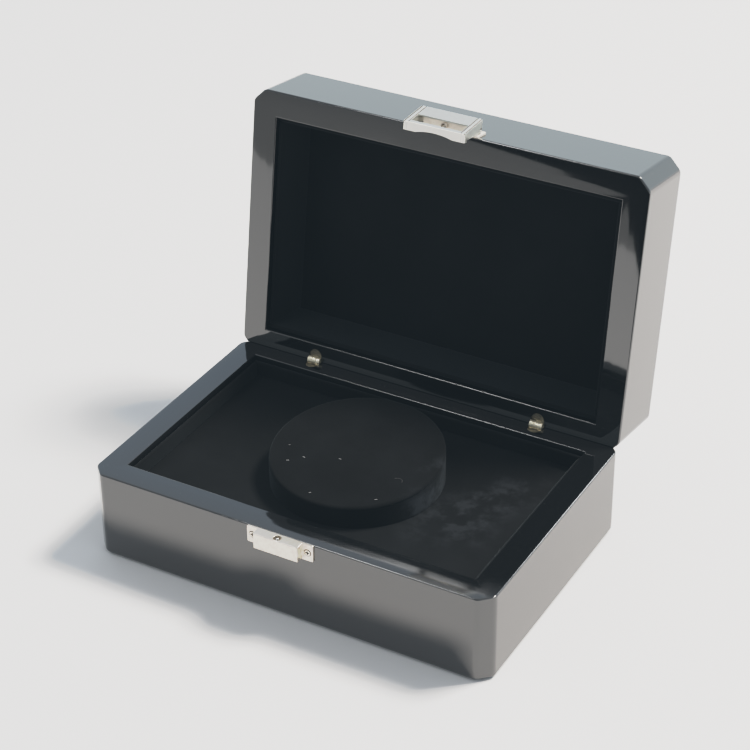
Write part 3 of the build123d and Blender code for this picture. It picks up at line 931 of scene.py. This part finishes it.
class JEWELRYBOX_OT_studio(Operator):
    """Sets up the floor, the soft light and the camera"""

    bl_idname = "jewelrybox.studio"
    bl_label = "Studio"

    floor_size = 6.0
    key_place = (1.25, 1.25, 2.73)
    key_size = 0.75
    fill_place = (-0.9, -1.6, 1.5)
    fill_size = 1.6
    front_glint_place = (-0.62, -0.55, 1.55)
    side_glint_place = (0.63, 1.31, 1.06)
    glint_size = 0.3
    grey_card = ((-2.0, -0.60), (0.0, -0.60), (0.0, -2.4), (-2.0, -2.4))
    grey_shade = 0.31
    dark_card = ((0.15, -0.25), (2.0, -0.25), (2.0, -2.2), (-1.32, -2.2))
    dark_shade = 0.012
    card_height = 0.001
    sky = ((0.0, (0.40, 0.40, 0.40)), (0.12, (0.308, 0.343, 0.357)),
           (0.26, (0.308, 0.343, 0.357)), (0.52, (0.150, 0.180, 0.213)),
           (0.77, (0.15, 0.155, 0.16)), (1.0, (0.13, 0.13, 0.13)))
    sky_strength = 4.0
    front_share = 0.35
    front_reach = 0.9
    # Light levels with the levels that they are shown at, then the lift of black in each channel
    brightest = 8.0
    shoulder = ((0.0, 0.0), (0.55, 0.55), (1.0, 0.69), (1.4, 0.75), (1.9, 0.793), (4.0, 0.87),
                (brightest, 1.0))
    haze = (0.0075, 0.0110, 0.0135)

    def execute(self, context):
        self.lay_floor(context.scene)
        self.lay_cards(context.scene)
        self.light(context.scene)
        self.colour_sky(context.scene)
        self.place_camera(context.scene)
        self.soften_highlights(context.scene)
        return {"FINISHED"}

    def staged(self, scene, bm, name, finish):
        """Turns a bmesh into a thing of the studio, which isn't part of the box."""
        mesh = bpy.data.meshes.new(name)
        bm.to_mesh(mesh)
        bm.free()
        mesh.materials.append(finish)
        thing = bpy.data.objects.new(name, mesh)
        scene.collection.objects.link(thing)
        thing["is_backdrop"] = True
        return thing

    def lay_floor(self, scene):
        """One large plain plane."""
        bm = bmesh.new()
        bmesh.ops.create_grid(bm, x_segments=1, y_segments=1, size=self.floor_size / 2)
        self.staged(scene, bm, "floor", floor_finish())

    def lay_cards(self, scene):
        """Studio cards in front, out of view, that only the polished surfaces mirror."""
        for name, outline, shade, layer in (("grey_card", self.grey_card, self.grey_shade, 1),
                                            ("dark_card", self.dark_card, self.dark_shade, 2)):
            bm = bmesh.new()
            bm.faces.new([bm.verts.new((x, y, layer * self.card_height)) for x, y in outline])
            bmesh.ops.recalc_face_normals(bm, faces=bm.faces)
            card = self.staged(scene, bm, name, card_finish(name, shade))
            card.visible_camera = False
            card.visible_diffuse = False
            card.visible_shadow = False

    def softbox(self, scene, name, place, size, power):
        """Square area light aimed at the box, not seen by the camera."""
        data = bpy.data.lights.new(name, "AREA")
        data.shape = "SQUARE"
        data.size = size
        data.energy = power
        lamp = bpy.data.objects.new(name, data)
        lamp.location = place
        lamp.rotation_euler = Vector(place).to_track_quat("Z", "Y").to_euler()
        lamp.visible_camera = False
        scene.collection.objects.link(lamp)
        return lamp

    def light(self, scene):
        """Key softbox behind and to the right, fill in front, two small lamps for the edges' glints."""
        wanted = scene.box_studio
        key = self.softbox(scene, "key_light", self.key_place, self.key_size, wanted.key)
        key.data.color = wanted.key_colour
        fill = self.softbox(scene, "fill_light", self.fill_place, self.fill_size, wanted.fill)
        fill.visible_glossy = False
        for name, place in (("front_glint_light", self.front_glint_place),
                            ("side_glint_light", self.side_glint_place)):
            glint = self.softbox(scene, name, place, self.glint_size, wanted.glint)
            glint.visible_diffuse = False

    def colour_sky(self, scene):
        """Surround that is brightest near the horizon, and dimmer overhead and in front."""
        world = bpy.data.worlds.new("surround")
        world.use_nodes = True
        scene.world = world
        shader = Shader(world.node_tree)
        direction = shader.node("ShaderNodeTexCoord", {}, {}, "Generated")
        strength = rise(shader, part_of(shader, direction, "Y"), -self.front_reach, 0.0,
                        self.front_share * self.sky_strength, self.sky_strength)
        tint = shader.node("ShaderNodeValToRGB", {"stops": self.sky},
                           {"Fac": part_of(shader, direction, "Z")})
        glow = shader.node("ShaderNodeBackground", {}, {"Color": tint, "Strength": strength})
        shader.node("ShaderNodeOutputWorld", {}, {"Surface": glow})

    def place_camera(self, scene):
        """Camera at the photograph's viewing angle."""
        wanted = scene.box_studio
        data = bpy.data.cameras.new("camera")
        data.lens = wanted.lens
        data.sensor_width = 36.0
        data.clip_start = 0.01
        camera = bpy.data.objects.new("camera", data)
        level = math.cos(wanted.elevation)
        towards = Vector((-math.sin(wanted.azimuth) * level, math.cos(wanted.azimuth) * level,
                          -math.sin(wanted.elevation)))
        camera.location = wanted.camera_place
        upright = towards.to_track_quat("-Z", "Y")
        camera.rotation_euler = (upright @ Quaternion((0, 0, 1), wanted.roll)).to_euler()
        scene.collection.objects.link(camera)
        scene.camera = camera

    def soften_highlights(self, scene):
        """Plain colours with a soft shoulder, as an overexposed white surround needs."""
        settings = scene.view_settings
        settings.view_transform = "Standard"
        settings.look = "None"
        settings.use_curve_mapping = True
        mapping = settings.curve_mapping
        mapping.white_level = (self.brightest,) * 3
        points = mapping.curves[3].points
        for level, shown in self.shoulder[1:-1]:
            points.new(level / self.brightest, shown)
        for point in points:
            point.handle_type = "VECTOR"
        for channel, lift in zip(mapping.curves, self.haze):
            channel.points[0].location = (0.0, lift / self.brightest)
        mapping.update()


class JEWELRYBOX_PT_sidebar(Panel):
    """Lists the pieces in the order in which they are made"""

    bl_idname = "JEWELRYBOX_PT_sidebar"
    bl_label = "Jewelry box"
    bl_space_type = "VIEW_3D"
    bl_region_type = "UI"
    bl_category = "Jewelry box"

    def draw(self, context):
        for operator in OPERATORS:
            self.layout.operator(operator.bl_idname)
        for name in SETTINGS:
            group = getattr(context.scene, name)
            column = self.layout.column(heading=name)
            for field in group.__annotations__:
                column.prop(group, field)


SETTINGS = {"box_lacquer": LacquerSettings, "box_velvet": VelvetSettings,
            "box_metal": MetalSettings, "box_studio": StudioSettings}
OPERATORS = (JEWELRYBOX_OT_lacquer, JEWELRYBOX_OT_tray, JEWELRYBOX_OT_drum, JEWELRYBOX_OT_lid_velvet,
             JEWELRYBOX_OT_keeper, JEWELRYBOX_OT_latch, JEWELRYBOX_OT_hinges, JEWELRYBOX_OT_hidden,
             JEWELRYBOX_OT_lint, JEWELRYBOX_OT_studio)


def register():
    """Registers the settings, the operators and the panel."""
    for name, group in SETTINGS.items():
        bpy.utils.register_class(group)
        setattr(bpy.types.Scene, name, PointerProperty(type=group))
    for cls in (*OPERATORS, JEWELRYBOX_PT_sidebar):
        bpy.utils.register_class(cls)


def unregister():
    """Takes the panel, the operators and the settings away again."""
    for cls in reversed((*OPERATORS, JEWELRYBOX_PT_sidebar)):
        bpy.utils.unregister_class(cls)
    for name, group in SETTINGS.items():
        delattr(bpy.types.Scene, name)
        bpy.utils.unregister_class(group)


def corners():
    """The object's lowest and highest corners as plain lists."""
    return [list(corner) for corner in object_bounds()]


def main():
    """Makes every piece."""
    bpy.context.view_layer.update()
    register()
    for operator in OPERATORS:
        group, name = operator.bl_idname.split(".")
        getattr(getattr(bpy.ops, group), name)()
    bpy.context.view_layer.update()


if __name__ == "__main__":
    main()
